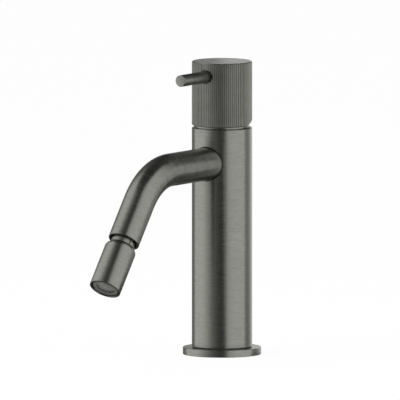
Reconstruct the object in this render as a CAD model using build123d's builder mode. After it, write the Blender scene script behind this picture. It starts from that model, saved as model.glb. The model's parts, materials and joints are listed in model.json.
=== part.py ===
"""A tall single-lever bidet mixer with a tilting, turning fluted handle and a swivel nozzle.

The origin is on the deck, in the middle of the foot. +Z points up the column and -Y points
along the spout, towards the user. Lengths are in millimetres and angles in degrees.
"""
from build123d import *
import math
import os

# Column and foot
overall_height = 195.0
base_diameter = 52.0
base_height = 4.7
base_bore_diameter = 32.0
base_edge_chamfer = 0.3
column_diameter = 40.0
column_wall = 1.5
column_edge_chamfer = 0.4
column_seal_thickness = 0.8
column_seal_inset = 0.7
gasket_outer_diameter = 47.0
gasket_inner_diameter = 42.0
gasket_depth = 1.4
plug_thickness = 12.0
stud_spacing = 25.0
stud_hole_diameter = 5.0
hose_slot_length = 27.0
hose_slot_width = 13.0

# Handle
handle_gap = 1.5
handle_height = 42.5
handle_edge_chamfer = 0.5
flute_count = 90
flute_depth = 0.4
relief_height = 1.9
relief_angle = 17.7
skirt_wall = 1.3
skirt_depth = 12.0
handle_wall = 2.5
handle_plate = 4.0
hub_diameter = 18.0
hub_length = 21.0
lever_drop = 8.9
lever_diameter = 7.8
lever_reach = 50.7
lever_tip_chamfer = 0.5
lever_thread_diameter = 6.0
lever_thread_length = 4.8
lever_recess_diameter = 9.6
lever_recess_depth = 2.5
lever_boss_diameter = 12.0
grub_diameter = 5.0
grub_length = 5.5
grub_socket_width = 2.5

# Cartridge and its seat in the valve block
pivot_drop = 1.0
block_length = 45.5
block_top_drop = 1.5
port_spacing = 12.0
port_offset = -1.5
port_thread_diameter = 7.0
port_thread_length = 10.0
port_bore_diameter = 4.4
cartridge_diameter = 25.0
cartridge_depth = 25.0
cartridge_wall = 2.9
cartridge_base_thickness = 6.0
channel_width = 3.6
channel_height = 3.0
channel_floor = 1.5
seal_outer_diameter = 6.6
seal_inner_diameter = 4.6
seal_thickness = 1.3
disc_thickness = 3.0
fixed_disc_gap = 0.2
moving_disc_diameter = 12.6
inlet_spacing = 8.4
disc_hole_diameter = 3.6
outlet_offset = 3.2
mixing_slot_length = 8.4
mixing_slot_width = 3.8
mixing_slot_offset = 2.9
mixing_slot_depth = 1.6
carrier_diameter = 12.0
carrier_thickness = 3.0
carrier_lug_diameter = 1.6
carrier_lug_length = 1.0
carrier_lug_spacing = 7.0
tongue_width = 7.0
tongue_length = 11.0
tongue_rise = 1.5
rotor_shoulder = 7.0
rotor_neck_diameter = 15.0
rotor_neck_rise = 3.5
lip_thickness = 2.2
flange_width = 1.5
flange_thickness = 2.5
nut_width = 3.0
nut_thickness = 4.9
nut_notch_count = 6
nut_notch_width = 3.0
nut_notch_depth = 1.2
cartridge_ring_section = 1.8
block_ring_section = 1.5
dome_diameter = 36.6
dome_wall = 2.0
dome_rise = 12.0
dome_groove_rise = 0.45
dome_groove_height = 1.05
dome_groove_depth = 1.0
spindle_width = 6.0
spindle_rise = 28.0
ball_seat_rise = 1.45
spindle_ball_diameter = 4.4
spindle_stem_diameter = 3.2
spindle_heel = 4.0
pivot_pin_diameter = 2.5
pivot_pin_length = 13.0
adapter_diameter = 13.0
adapter_length = 21.0
adapter_start = 18.0
adapter_screw_diameter = 3.4
adapter_screw_length = 12.0
adapter_head_diameter = 7.0
adapter_head_length = 3.0
adapter_web = 3.0

# Spout
spout_drop = 22.9
spout_diameter = 21.5
spout_wall = 1.5
spout_reach = 86.9
spout_bend_radius = 47.3
spout_fall_angle = 52.5
spout_fall_length = 53.9
spout_seat_depth = 3.5
spout_hole_gap = 0.35
spout_hole_chamfer = 0.5
spigot_length = 12.0
spigot_nose_diameter = 14.0
spigot_nose_length = 2.5
spigot_bore_diameter = 9.6
spout_ring_section = 1.5
outlet_bore_depth = 10.0
insert_drop = 7.0
insert_length = 13.0
insert_thread_diameter = 9.0

# Swivel nozzle, measured along its own axis from the mouth of the spout
ball_diameter = 12.4
ball_stem_diameter = 6.8
ball_bore_diameter = 5.0
seat_ring_wall = 0.5
seat_ring_length = 6.8
neck_diameter = 16.4
neck_tail = 3.2
neck_bore_diameter = 13.4
neck_flange_diameter = 18.5
neck_flange_start = 7.5
neck_length = 14.0
neck_slit_count = 3
neck_slit_width = 0.8
neck_slit_turn = 23.7
casing_diameter = 21.3
casing_wall = 1.3
casing_start = 3.7
casing_lip_diameter = 17.5
casing_shoulder_length = 2.5
casing_shoulder_rounding = 0.8
casing_end = 37.4
casing_rim_chamfer = 0.3
washer_thickness = 1.5
washer_inner_diameter = 13.4
aerator_recess = 0.7
aerator_bore_diameter = 15.2
aerator_lip_diameter = 17.2
aerator_mouth_diameter = 12.4
aerator_lip_length = 1.4
aerator_lip_depth = 2.2
screen_thickness = 0.5
screen_pitch = 1.5
screen_hole_diameter = 1.0
screen_ring_count = 4
flow_plate_start = 24.0
flow_plate_thickness = 2.0
flow_hole_diameter = 1.6
flow_hole_count = 12
flow_circle_diameter = 10.0

# Clearances, on the radius or between faces
slide_clearance = 0.1
running_clearance = 0.05
thread_clearance = 0.05
ball_clearance = 0.1
overrun = 5.0

# Radii and levels that follow from the sizes above
base_radius = base_diameter / 2
base_bore_radius = base_bore_diameter / 2
column_radius = column_diameter / 2
column_bore_radius = column_radius - column_wall
column_foot = base_height + column_seal_thickness
column_top = overall_height - handle_height - handle_gap
pivot_height = column_top - pivot_drop
handle_bottom = column_top + handle_gap
handle_top = handle_bottom + handle_height
lever_height = handle_top - lever_drop
spout_height = column_top - spout_drop

deck = Plane.XY
spout_axis_frame = Plane(origin=(0, 0, spout_height), x_dir=(1, 0, 0), z_dir=(0, -1, 0))
lever_frame = Plane(origin=(0, 0, lever_height), x_dir=(1, 0, 0), z_dir=(0, -1, 0))
pivot_frame = Plane(origin=(0, 0, pivot_height), x_dir=(0, 1, 0), z_dir=(1, 0, 0))


def turn(points, plane, mode=Mode.ADD):
    """Turn a closed outline of (radius, height) points about the plane's Z axis."""
    side = Plane(origin=plane.origin, x_dir=plane.x_dir, z_dir=-plane.y_dir)
    with BuildSketch(side) as outline:
        with BuildLine():
            Polyline(*points, close=True)
        make_face()
    revolve(outline.sketch, axis=Axis(plane.origin, plane.z_dir), mode=mode)


def ring_outline(inner_radius, outer_radius, low, high):
    """Outline of a plain ring, or of a disc where the inner radius is zero."""
    return [(inner_radius, low), (outer_radius, low), (outer_radius, high), (inner_radius, high)]


def save(piece, name):
    """Label a finished piece and write it as its own node."""
    piece.part.label = name
    export_step(piece.part, "parts/" + name + ".step")
    print(f"{name}: {piece.part.volume:.0f} mm3")


os.makedirs("parts", exist_ok=True)

# Foot: a turned ring on the deck with a rubber gasket let into its underside
gasket_outer_radius = gasket_outer_diameter / 2
gasket_inner_radius = gasket_inner_diameter / 2

with BuildPart() as base_ring:
    turn([
        (base_bore_radius, 0),
        (base_radius - base_edge_chamfer, 0),
        (base_radius, base_edge_chamfer),
        (base_radius, base_height - base_edge_chamfer),
        (base_radius - base_edge_chamfer, base_height),
        (base_bore_radius, base_height),
    ], deck)
    turn(ring_outline(gasket_inner_radius - slide_clearance, gasket_outer_radius + slide_clearance,
                      -overrun, gasket_depth + slide_clearance), deck, mode=Mode.SUBTRACT)
save(base_ring, "base_ring")

with BuildPart() as base_gasket:
    turn(ring_outline(gasket_inner_radius, gasket_outer_radius, 0, gasket_depth), deck)
save(base_gasket, "base_gasket")

# The foot plug closes the column's lower end, centres it on the ring and takes the fixing studs
plug_top = base_height + plug_thickness

with BuildPart() as foot_plug:
    turn([
        (0, 0),
        (base_bore_radius - slide_clearance, 0),
        (base_bore_radius - slide_clearance, base_height),
        (column_bore_radius - slide_clearance, base_height),
        (column_bore_radius - slide_clearance, plug_top),
        (0, plug_top),
    ], deck)
    with BuildSketch(deck) as passages:
        SlotOverall(hose_slot_length, hose_slot_width)
        with GridLocations(0, stud_spacing, 1, 2):
            Circle(stud_hole_diameter / 2)
    extrude(passages.sketch, amount=plug_top, mode=Mode.SUBTRACT)
save(foot_plug, "foot_plug")

# Column seal: a black ring between foot and column, set back so that it shows as a dark line
with BuildPart() as column_seal:
    turn(ring_outline(column_bore_radius, column_radius - column_seal_inset,
                      base_height, column_foot), deck)
save(column_seal, "column_seal")

# Column: a brushed tube with one hole for the spout
spout_radius = spout_diameter / 2
spout_hole_radius = spout_radius + spout_hole_gap

with BuildPart() as column_sleeve:
    turn([
        (column_bore_radius, column_foot),
        (column_radius, column_foot),
        (column_radius, column_top - column_edge_chamfer),
        (column_radius - column_edge_chamfer, column_top),
        (column_bore_radius, column_top),
    ], deck)
    with Locations(spout_axis_frame):
        Cylinder(spout_hole_radius, column_radius + overrun,
                 align=(Align.CENTER, Align.CENTER, Align.MIN), mode=Mode.SUBTRACT)
    hole_edges = column_sleeve.edges().filter_by(GeomType.CIRCLE, reverse=True)
    hole_edges = hole_edges.filter_by(GeomType.LINE, reverse=True).sort_by(Axis.Y)
    chamfer(hole_edges[0], length=spout_hole_chamfer)
save(column_sleeve, "column_sleeve")

# Valve block: the brass body in the column's upper end, bored for the cartridge and the hoses
block_radius = column_bore_radius - slide_clearance
block_top = column_top - block_top_drop
block_bottom = block_top - block_length
cartridge_radius = cartridge_diameter / 2
housing_bore_radius = cartridge_radius - cartridge_wall
chamber_radius = cartridge_radius + slide_clearance + slide_clearance
chamber_floor = pivot_height - cartridge_depth
port_x = port_spacing / 2
port_radius = port_thread_diameter / 2
port_bore_radius = port_bore_diameter / 2
inlet_x = inlet_spacing / 2
disc_hole_radius = disc_hole_diameter / 2

base_top = chamber_floor + cartridge_base_thickness
fixed_disc_top = base_top + disc_thickness
moving_disc_bottom = fixed_disc_top + running_clearance
moving_disc_top = moving_disc_bottom + disc_thickness
carrier_top = moving_disc_top + carrier_thickness
rotor_bottom = carrier_top + slide_clearance
shoulder_top = rotor_bottom + rotor_shoulder
housing_top = shoulder_top + slide_clearance + lip_thickness
nut_bottom = housing_top - nut_thickness
flange_bottom = nut_bottom - flange_thickness
flange_radius = cartridge_radius + flange_width
nut_radius = cartridge_radius + nut_width
seat_level = flange_bottom - slide_clearance - slide_clearance

spigot_nose_radius = spigot_nose_diameter / 2
seat_distance = column_radius - spout_seat_depth
block_ring_radius = block_ring_section / 2
ring_levels = [
    block_bottom + block_ring_section + block_ring_section,
    (spout_height + spout_radius + nut_bottom) / 2,
]

with BuildPart() as valve_block:
    turn(ring_outline(0, block_radius, block_bottom, block_top), deck)
    turn([
        (0, chamber_floor),
        (chamber_radius, chamber_floor),
        (chamber_radius, seat_level),
        (flange_radius + slide_clearance, seat_level),
        (flange_radius + slide_clearance, nut_bottom),
        (nut_radius + thread_clearance, nut_bottom),
        (nut_radius + thread_clearance, block_top + overrun),
        (0, block_top + overrun),
    ], deck, mode=Mode.SUBTRACT)
    for level in ring_levels:
        turn(ring_outline(block_radius - block_ring_section, block_radius + overrun,
                          level - block_ring_radius - slide_clearance,
                          level + block_ring_radius + slide_clearance), deck, mode=Mode.SUBTRACT)
    with Locations((-port_x, port_offset, block_bottom), (port_x, port_offset, block_bottom)):
        Cylinder(port_radius, port_thread_length,
                 align=(Align.CENTER, Align.CENTER, Align.MIN), mode=Mode.SUBTRACT)
        Cylinder(port_bore_radius, chamber_floor - block_bottom + overrun,
                 align=(Align.CENTER, Align.CENTER, Align.MIN), mode=Mode.SUBTRACT)
    with Locations(spout_axis_frame.offset(seat_distance)):
        Cylinder(spout_hole_radius, overrun,
                 align=(Align.CENTER, Align.CENTER, Align.MIN), mode=Mode.SUBTRACT)
    with Locations(spout_axis_frame.offset(outlet_bore_depth)):
        Cylinder(spigot_nose_radius + thread_clearance, column_radius,
                 align=(Align.CENTER, Align.CENTER, Align.MIN), mode=Mode.SUBTRACT)
save(valve_block, "valve_block")

with BuildPart() as block_rings:
    for level in ring_levels:
        with Locations((0, 0, level)):
            Torus(block_radius - block_ring_radius, block_ring_radius)
save(block_rings, "block_rings")

# Cartridge base: two inlet ways up to the discs, and one channel that leads the mix to the front
seal_outer_radius = seal_outer_diameter / 2
seal_inner_radius = seal_inner_diameter / 2
way_inner_end = inlet_x - disc_hole_radius
way_outer_end = port_x + port_bore_radius

with BuildPart() as cartridge_base:
    turn(ring_outline(0, cartridge_radius, chamber_floor, base_top), deck)
    with Locations((-port_x, port_offset, chamber_floor), (port_x, port_offset, chamber_floor)):
        Cylinder(seal_outer_radius + slide_clearance, seal_thickness,
                 align=(Align.CENTER, Align.CENTER, Align.MIN), mode=Mode.SUBTRACT)
    with BuildSketch(deck.offset(chamber_floor)) as inlet_ways:
        with Locations((-(way_inner_end + way_outer_end) / 2, port_offset),
                       ((way_inner_end + way_outer_end) / 2, port_offset)):
            SlotOverall(way_outer_end - way_inner_end, disc_hole_diameter)
    extrude(inlet_ways.sketch, amount=cartridge_base_thickness, mode=Mode.SUBTRACT)
    with Locations((0, outlet_offset, base_top)):
        Cylinder(disc_hole_radius, cartridge_base_thickness - channel_floor,
                 align=(Align.CENTER, Align.CENTER, Align.MAX), mode=Mode.SUBTRACT)
    with Locations((0, outlet_offset + disc_hole_radius, chamber_floor + channel_floor)):
        Box(channel_width, cartridge_diameter, channel_height,
            align=(Align.CENTER, Align.MAX, Align.MIN), mode=Mode.SUBTRACT)
save(cartridge_base, "cartridge_base")

with BuildPart() as inlet_seals:
    with BuildSketch(deck.offset(chamber_floor)) as seal_rings:
        with Locations((-port_x, port_offset), (port_x, port_offset)):
            Circle(seal_outer_radius)
            Circle(seal_inner_radius, mode=Mode.SUBTRACT)
    extrude(seal_rings.sketch, amount=seal_thickness)
save(inlet_seals, "inlet_seals")

# Ceramic discs: the fixed one carries the ports, the moving one bridges them with a mixing slot
fixed_disc_radius = housing_bore_radius - fixed_disc_gap
moving_disc_radius = moving_disc_diameter / 2
carrier_lug_radius = carrier_lug_diameter / 2
carrier_lug_x = carrier_lug_spacing / 2

with BuildPart() as fixed_disc:
    with BuildSketch(deck.offset(base_top)) as port_plate:
        Circle(fixed_disc_radius)
        with Locations((-inlet_x, port_offset), (inlet_x, port_offset), (0, outlet_offset)):
            Circle(disc_hole_radius, mode=Mode.SUBTRACT)
    extrude(port_plate.sketch, amount=disc_thickness)
save(fixed_disc, "fixed_disc")

with BuildPart() as moving_disc:
    turn(ring_outline(0, moving_disc_radius, moving_disc_bottom, moving_disc_top), deck)
    with BuildSketch(deck.offset(moving_disc_bottom)) as mixing_slot:
        with Locations((0, mixing_slot_offset)):
            SlotOverall(mixing_slot_length, mixing_slot_width)
        with Locations((0, outlet_offset)):
            Circle(disc_hole_radius + running_clearance)
    extrude(mixing_slot.sketch, amount=mixing_slot_depth, mode=Mode.SUBTRACT)
    with Locations((-carrier_lug_x, port_offset, moving_disc_top),
                   (carrier_lug_x, port_offset, moving_disc_top)):
        Cylinder(carrier_lug_radius + running_clearance, carrier_lug_length + running_clearance,
                 align=(Align.CENTER, Align.CENTER, Align.MAX), mode=Mode.SUBTRACT)
save(moving_disc, "moving_disc")

# Carrier: drives the moving disc, slides in the rotor and holds the spindle's ball end
ball_end_radius = spindle_ball_diameter / 2
ball_end_height = carrier_top + ball_seat_rise
spindle_tail = pivot_height - ball_end_height
tongue_top = ball_end_height + tongue_rise
pocket_radius = ball_end_radius + slide_clearance + slide_clearance
pocket_floor = ball_end_height - pocket_radius

with BuildPart() as disc_carrier:
    turn(ring_outline(0, carrier_diameter / 2, moving_disc_top, carrier_top), deck)
    with Locations((0, 0, carrier_top - running_clearance)):
        Box(tongue_width, tongue_length, tongue_top - carrier_top + running_clearance,
            align=(Align.CENTER, Align.CENTER, Align.MIN))
    with Locations((-carrier_lug_x, port_offset, moving_disc_top),
                   (carrier_lug_x, port_offset, moving_disc_top)):
        Cylinder(carrier_lug_radius, carrier_lug_length,
                 align=(Align.CENTER, Align.CENTER, Align.MAX))
    with Locations((0, 0, pocket_floor)):
        Cylinder(pocket_radius, spindle_tail,
                 align=(Align.CENTER, Align.CENTER, Align.MIN), mode=Mode.SUBTRACT)
save(disc_carrier, "disc_carrier")

# Rotor: turns in the housing with the handle, and its two ears hold the tilt pin
rotor_radius = housing_bore_radius - slide_clearance
rotor_neck_radius = rotor_neck_diameter / 2
neck_top = pivot_height + rotor_neck_rise
spindle_slot_width = spindle_width + slide_clearance + slide_clearance
pin_radius = pivot_pin_diameter / 2

with BuildPart() as cartridge_rotor:
    turn([
        (0, rotor_bottom),
        (rotor_radius, rotor_bottom),
        (rotor_radius, shoulder_top),
        (rotor_neck_radius, shoulder_top),
        (rotor_neck_radius, neck_top),
        (0, neck_top),
    ], deck)
    with Locations((0, 0, rotor_bottom - overrun)):
        Box(tongue_width + slide_clearance + slide_clearance, cartridge_diameter,
            tongue_top + slide_clearance - rotor_bottom + overrun,
            align=(Align.CENTER, Align.CENTER, Align.MIN), mode=Mode.SUBTRACT)
    with Locations((0, 0, rotor_bottom)):
        Box(spindle_slot_width, spindle_width + spindle_width, neck_top - rotor_bottom + overrun,
            align=(Align.CENTER, Align.CENTER, Align.MIN), mode=Mode.SUBTRACT)
    with Locations((0, 0, shoulder_top)):
        Box(spindle_slot_width, rotor_neck_diameter, neck_top,
            align=(Align.CENTER, Align.CENTER, Align.MIN), mode=Mode.SUBTRACT)
    with Locations(pivot_frame):
        Cylinder(pin_radius, cartridge_diameter, mode=Mode.SUBTRACT)
save(cartridge_rotor, "cartridge_rotor")

with BuildPart() as pivot_pin:
    with Locations(pivot_frame):
        Cylinder(pin_radius, pivot_pin_length)
save(pivot_pin, "pivot_pin")

# Housing: closes the cartridge round the discs and the rotor
cartridge_ring_radius = cartridge_ring_section / 2
cartridge_ring_level = seat_level - cartridge_ring_section

with BuildPart() as cartridge_housing:
    turn([
        (housing_bore_radius, base_top),
        (cartridge_radius, base_top),
        (cartridge_radius, flange_bottom),
        (flange_radius, flange_bottom),
        (flange_radius, nut_bottom),
        (cartridge_radius, nut_bottom),
        (cartridge_radius, housing_top),
        (rotor_neck_radius + slide_clearance, housing_top),
        (rotor_neck_radius + slide_clearance, shoulder_top + slide_clearance),
        (housing_bore_radius, shoulder_top + slide_clearance),
    ], deck)
    turn(ring_outline(chamber_radius - cartridge_ring_section, cartridge_radius + overrun,
                      cartridge_ring_level - cartridge_ring_radius - slide_clearance,
                      cartridge_ring_level + cartridge_ring_radius + slide_clearance),
         deck, mode=Mode.SUBTRACT)
save(cartridge_housing, "cartridge_housing")

with BuildPart() as cartridge_seal:
    with Locations((0, 0, cartridge_ring_level)):
        Torus(chamber_radius - cartridge_ring_radius, cartridge_ring_radius)
save(cartridge_seal, "cartridge_seal")

with BuildPart() as cartridge_nut:
    turn(ring_outline(cartridge_radius + slide_clearance, nut_radius, nut_bottom, housing_top), deck)
    with BuildSketch(deck.offset(housing_top - nut_notch_depth)) as wrench_notches:
        with PolarLocations(nut_radius, nut_notch_count):
            Rectangle(nut_notch_width, nut_notch_width)
    extrude(wrench_notches.sketch, amount=nut_notch_depth, mode=Mode.SUBTRACT)
save(cartridge_nut, "cartridge_nut")

# Dome: the round cover that shows in the gap, with a groove that parts it from the column's rim.
# The handle tilts about the middle of its ball.
dome_radius = dome_diameter / 2
dome_inner_radius = dome_radius - dome_wall

with BuildPart() as dome_ring:
    with Locations((0, 0, pivot_height)):
        Sphere(dome_radius)
        Sphere(dome_inner_radius, mode=Mode.SUBTRACT)
    with Locations((0, 0, block_top)):
        Box(column_diameter, column_diameter, column_diameter,
            align=(Align.CENTER, Align.CENTER, Align.MAX), mode=Mode.SUBTRACT)
    with Locations((0, 0, pivot_height + dome_rise)):
        Box(column_diameter, column_diameter, column_diameter,
            align=(Align.CENTER, Align.CENTER, Align.MIN), mode=Mode.SUBTRACT)
    groove_top = column_top + dome_groove_rise
    turn(ring_outline(dome_radius - dome_groove_depth, dome_radius + overrun,
                      groove_top - dome_groove_height, groove_top), deck, mode=Mode.SUBTRACT)
save(dome_ring, "dome_ring")

# Spindle: a square rod on the tilt pin, with a ball end that pushes the discs
adapter_bottom = pivot_height + adapter_start
spindle_top = pivot_height + spindle_rise
adapter_top = adapter_bottom + adapter_length
adapter_radius = adapter_diameter / 2
adapter_screw_radius = adapter_screw_diameter / 2
adapter_head_radius = adapter_head_diameter / 2

with BuildPart() as spindle:
    with Locations((0, 0, pivot_height - spindle_heel)):
        Box(spindle_width, spindle_width, spindle_heel + spindle_rise,
            align=(Align.CENTER, Align.CENTER, Align.MIN))
    with Locations((0, 0, ball_end_height)):
        Sphere(ball_end_radius)
        Cylinder(spindle_stem_diameter / 2, spindle_tail - spindle_heel,
                 align=(Align.CENTER, Align.CENTER, Align.MIN))
    with Locations(pivot_frame):
        Cylinder(pin_radius + running_clearance, cartridge_diameter, mode=Mode.SUBTRACT)
    with Locations((0, 0, spindle_top)):
        Cylinder(adapter_screw_radius + thread_clearance, adapter_screw_length,
                 align=(Align.CENTER, Align.CENTER, Align.MAX), mode=Mode.SUBTRACT)
save(spindle, "spindle")

# Adapter: brings the short spindle up to the lever, and is held by a screw from above
with BuildPart() as spindle_adapter:
    turn(ring_outline(0, adapter_radius, adapter_bottom, adapter_top), deck)
    with Locations((0, 0, adapter_bottom)):
        Box(spindle_width + running_clearance + running_clearance,
            spindle_width + running_clearance + running_clearance, spindle_top - adapter_bottom,
            align=(Align.CENTER, Align.CENTER, Align.MIN), mode=Mode.SUBTRACT)
    with Locations((0, 0, spindle_top)):
        Cylinder(adapter_screw_radius + slide_clearance, adapter_length,
                 align=(Align.CENTER, Align.CENTER, Align.MIN), mode=Mode.SUBTRACT)
    with Locations((0, 0, spindle_top + adapter_web)):
        Cylinder(adapter_head_radius + slide_clearance, adapter_length,
                 align=(Align.CENTER, Align.CENTER, Align.MIN), mode=Mode.SUBTRACT)
save(spindle_adapter, "spindle_adapter")

with BuildPart() as adapter_screw:
    turn([
        (0, spindle_top + running_clearance - adapter_screw_length),
        (adapter_screw_radius, spindle_top + running_clearance - adapter_screw_length),
        (adapter_screw_radius, spindle_top + adapter_web),
        (adapter_head_radius, spindle_top + adapter_web),
        (adapter_head_radius, spindle_top + adapter_web + adapter_head_length),
        (0, spindle_top + adapter_web + adapter_head_length),
    ], deck)
    with BuildSketch(deck.offset(spindle_top + adapter_web + adapter_head_length)) as screw_socket:
        RegularPolygon(grub_socket_width / 2, 6, major_radius=False)
    extrude(screw_socket.sketch, amount=-adapter_head_length / 2, mode=Mode.SUBTRACT)
save(adapter_screw, "adapter_screw")

# Handle: a fluted cap, relieved at the back so that it can lean over the column
handle_radius = column_radius
skirt_radius = handle_radius - skirt_wall
handle_inner_radius = handle_radius - handle_wall
hub_radius = hub_diameter / 2
hub_top = handle_top - handle_plate
hub_bottom = hub_top - hub_length
skirt_top = handle_bottom + skirt_depth
flute_side = flute_depth * math.sqrt(2)
relief_plane = Plane(origin=(0, 0, column_top + relief_height), x_dir=(1, 0, 0), z_dir=(0, 0, 1))
relief_plane = relief_plane.rotated((relief_angle, 0, 0))
grub_radius = grub_diameter / 2
lever_radius = lever_diameter / 2
lever_thread_radius = lever_thread_diameter / 2
lever_seat = handle_radius - lever_recess_depth
grub_start = adapter_radius

with BuildPart() as handle_shell:
    with BuildSketch(deck.offset(handle_bottom)) as fluted_section:
        Circle(handle_radius)
        with PolarLocations(handle_radius, flute_count):
            Rectangle(flute_side, flute_side, rotation=45, mode=Mode.SUBTRACT)
    extrude(fluted_section.sketch, amount=handle_height)
    turn([
        (0, handle_bottom),
        (handle_radius - handle_edge_chamfer, handle_bottom),
        (handle_radius, handle_bottom + handle_edge_chamfer),
        (handle_radius, handle_top - handle_edge_chamfer),
        (handle_radius - handle_edge_chamfer, handle_top),
        (0, handle_top),
    ], deck, mode=Mode.INTERSECT)
    turn([
        (0, handle_bottom - overrun),
        (skirt_radius, handle_bottom - overrun),
        (skirt_radius, skirt_top),
        (handle_inner_radius, skirt_top),
        (handle_inner_radius, hub_top),
        (hub_radius, hub_top),
        (hub_radius, hub_bottom),
        (0, hub_bottom),
    ], deck, mode=Mode.SUBTRACT)
    with Locations(lever_frame.offset(adapter_radius)):
        Cylinder(lever_boss_diameter / 2, handle_radius - handle_wall / 2 - adapter_radius,
                 align=(Align.CENTER, Align.CENTER, Align.MIN))
    turn(ring_outline(0, adapter_radius + running_clearance, hub_bottom - overrun,
                      adapter_top + slide_clearance), deck, mode=Mode.SUBTRACT)
    with Locations(lever_frame):
        Cylinder(grub_radius + thread_clearance, handle_radius,
                 align=(Align.CENTER, Align.CENTER, Align.MIN), mode=Mode.SUBTRACT)
    with Locations(lever_frame.offset(grub_start + grub_length)):
        Cylinder(lever_thread_radius + thread_clearance, handle_radius,
                 align=(Align.CENTER, Align.CENTER, Align.MIN), mode=Mode.SUBTRACT)
    with Locations(lever_frame.offset(lever_seat)):
        Cylinder(lever_recess_diameter / 2, handle_radius,
                 align=(Align.CENTER, Align.CENTER, Align.MIN), mode=Mode.SUBTRACT)
    split(bisect_by=relief_plane, keep=Keep.TOP)
save(handle_shell, "handle_shell")

with BuildPart() as handle_set_screw:
    turn(ring_outline(0, grub_radius, grub_start, grub_start + grub_length), lever_frame)
    with BuildSketch(lever_frame.offset(grub_start + grub_length)) as grub_socket:
        RegularPolygon(grub_socket_width / 2, 6, major_radius=False)
    extrude(grub_socket.sketch, amount=-grub_length / 2, mode=Mode.SUBTRACT)
save(handle_set_screw, "handle_set_screw")

with BuildPart() as lever_pin:
    turn([
        (0, lever_seat - lever_thread_length),
        (lever_thread_radius, lever_seat - lever_thread_length),
        (lever_thread_radius, lever_seat),
        (lever_radius, lever_seat),
        (lever_radius, lever_reach - lever_tip_chamfer),
        (lever_radius - lever_tip_chamfer, lever_reach),
        (0, lever_reach),
    ], lever_frame)
save(lever_pin, "lever_pin")

# Spout: one bent tube with a threaded spigot in its root and a threaded insert behind its mouth
spout_bore_radius = spout_radius - spout_wall
spout_root = Vector(0, -seat_distance, spout_height)
spout_corner = Vector(0, -spout_reach, spout_height)
fall = Vector(0, -math.cos(math.radians(spout_fall_angle)), -math.sin(math.radians(spout_fall_angle)))
spout_mouth = spout_corner + fall * spout_fall_length
nozzle_frame = Plane(origin=spout_mouth, x_dir=(1, 0, 0), z_dir=fall)

with BuildPart() as spout_tube:
    with BuildLine() as spout_path:
        FilletPolyline(spout_root, spout_corner, spout_mouth, radius=spout_bend_radius)
    with BuildSketch(spout_axis_frame.offset(seat_distance)) as spout_section:
        Circle(spout_radius)
        Circle(spout_bore_radius, mode=Mode.SUBTRACT)
    sweep(spout_section.sketch, path=spout_path.line)
    turn([
        (spout_radius - casing_rim_chamfer, overrun),
        (spout_radius - casing_rim_chamfer, 0),
        (spout_radius, -casing_rim_chamfer),
        (spout_radius + overrun, -casing_rim_chamfer),
        (spout_radius + overrun, overrun),
    ], nozzle_frame, mode=Mode.SUBTRACT)
save(spout_tube, "spout_tube")

spout_ring_radius = spout_ring_section / 2
spout_ring_major = spigot_nose_radius + slide_clearance + spout_ring_radius

with BuildPart() as spout_spigot:
    turn([
        (spigot_bore_diameter / 2, seat_distance - spigot_nose_length),
        (spigot_nose_radius, seat_distance - spigot_nose_length),
        (spigot_nose_radius, seat_distance),
        (spout_bore_radius - running_clearance, seat_distance),
        (spout_bore_radius - running_clearance, seat_distance + spigot_length),
        (spigot_bore_diameter / 2, seat_distance + spigot_length),
    ], spout_axis_frame)
    turn(ring_outline(spigot_nose_radius, spout_ring_major + spout_ring_radius + slide_clearance,
                      seat_distance - running_clearance, seat_distance + spout_ring_section),
         spout_axis_frame, mode=Mode.SUBTRACT)
save(spout_spigot, "spout_spigot")

with BuildPart() as spout_seal:
    with Locations(spout_axis_frame.offset(seat_distance + spout_ring_radius)):
        Torus(spout_ring_major, spout_ring_radius)
save(spout_seal, "spout_seal")

insert_front = -insert_drop
insert_back = insert_front - insert_length
insert_thread_radius = insert_thread_diameter / 2

with BuildPart() as spout_end_insert:
    turn(ring_outline(insert_thread_radius + thread_clearance, spout_bore_radius - running_clearance,
                      insert_back, insert_front), nozzle_frame)
save(spout_end_insert, "spout_end_insert")

# Ball stem: the fixed ball that the nozzle swivels on, drilled through for the water
ball_radius = ball_diameter / 2

with BuildPart() as ball_stem:
    with Locations(nozzle_frame):
        Sphere(ball_radius)
    turn([
        (0, 0),
        (ball_stem_diameter / 2, 0),
        (ball_stem_diameter / 2, insert_front),
        (insert_thread_radius, insert_front),
        (insert_thread_radius, insert_back),
        (0, insert_back),
    ], nozzle_frame)
    turn(ring_outline(0, ball_bore_diameter / 2, insert_back - overrun, ball_diameter),
         nozzle_frame, mode=Mode.SUBTRACT)
save(ball_stem, "ball_stem")

# Seat rings: two thin round-backed rings, one inside the other, that the nozzle grips the ball with
inner_seat_radius = ball_radius + ball_clearance
inner_seat_back = inner_seat_radius + seat_ring_wall
outer_seat_radius = inner_seat_back + ball_clearance
outer_seat_back = outer_seat_radius + seat_ring_wall
socket_radius = outer_seat_back + ball_clearance

with BuildPart() as inner_seat_ring:
    turn(ring_outline(0, inner_seat_back, -seat_ring_length / 2, seat_ring_length / 2), nozzle_frame)
    with Locations(nozzle_frame):
        Sphere(inner_seat_back, mode=Mode.INTERSECT)
        Sphere(inner_seat_radius, mode=Mode.SUBTRACT)
save(inner_seat_ring, "inner_seat_ring")

with BuildPart() as outer_seat_ring:
    turn(ring_outline(0, outer_seat_back, -seat_ring_length / 2, seat_ring_length / 2), nozzle_frame)
    with Locations(nozzle_frame):
        Sphere(outer_seat_back, mode=Mode.INTERSECT)
        Sphere(outer_seat_radius, mode=Mode.SUBTRACT)
save(outer_seat_ring, "outer_seat_ring")

# Swivel neck: a slit collar that snaps over the rings, with a flange that carries the casing
neck_radius = neck_diameter / 2
neck_bore_radius = neck_bore_diameter / 2
neck_flange_radius = neck_flange_diameter / 2
slit_end = casing_start

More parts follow.
